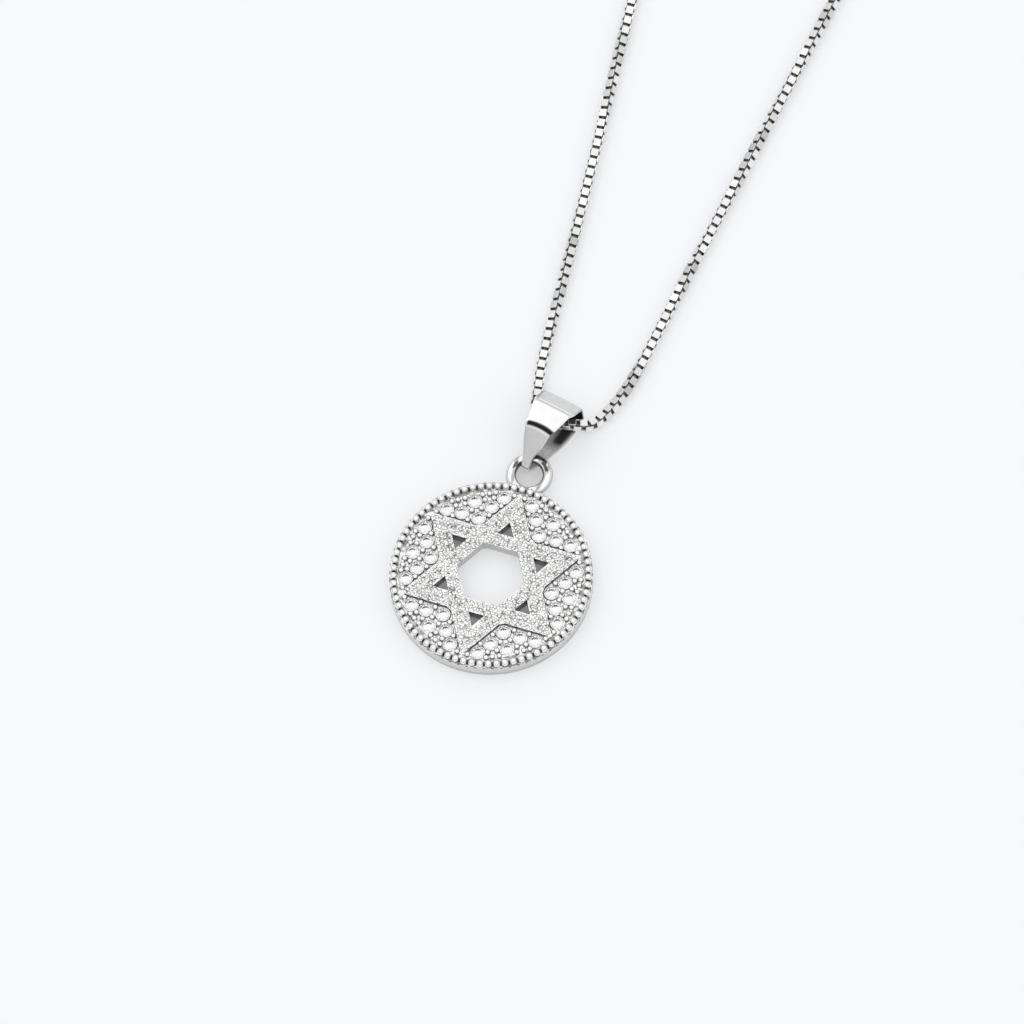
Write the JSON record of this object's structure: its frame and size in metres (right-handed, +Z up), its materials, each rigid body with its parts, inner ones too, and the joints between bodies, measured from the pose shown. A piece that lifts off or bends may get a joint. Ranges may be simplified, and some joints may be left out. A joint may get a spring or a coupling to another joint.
{
  "type": "pendant necklace",
  "caption": "Round pendant with a raised six-pointed star, a beaded rim and stone-set fields, hung by a folded bail on a fine box chain with a barrel clasp, lying flat.",
  "frame": {"origin": "middle of the necklace's outline in plan, on the surface that it lies on", "axes": "+Y along the necklace from the pendant to the clasp, +X across the loop, +Z up, out of the pendant's front face"},
  "size_m": [0.051, 0.2336, 0.0044],
  "materials": {
    "silver": "polished white metal",
    "stone": "clear brilliant-cut stone"
  },
  "bodies": {
    "root": {"disc": "silver", "bail": "silver", "chain": "silver", "clasp": "silver", "stone_01": "stone", "stone_02": "stone", "stone_03": "stone", "stone_04": "stone", "stone_05": "stone", "stone_06": "stone", "stone_07": "stone", "stone_08": "stone", "stone_09": "stone", "stone_10": "stone", "stone_11": "stone", "stone_12": "stone", "stone_13": "stone", "stone_14": "stone", "stone_15": "stone", "stone_16": "stone", "stone_17": "stone", "stone_18": "stone", "stone_19": "stone", "stone_20": "stone", "stone_21": "stone", "stone_22": "stone", "stone_23": "stone", "stone_24": "stone", "stone_25": "stone", "stone_26": "stone", "stone_27": "stone", "stone_28": "stone", "stone_29": "stone", "stone_30": "stone", "stone_31": "stone", "stone_32": "stone", "stone_33": "stone", "stone_34": "stone", "stone_35": "stone", "stone_36": "stone"}
  },
  "joints": []
}
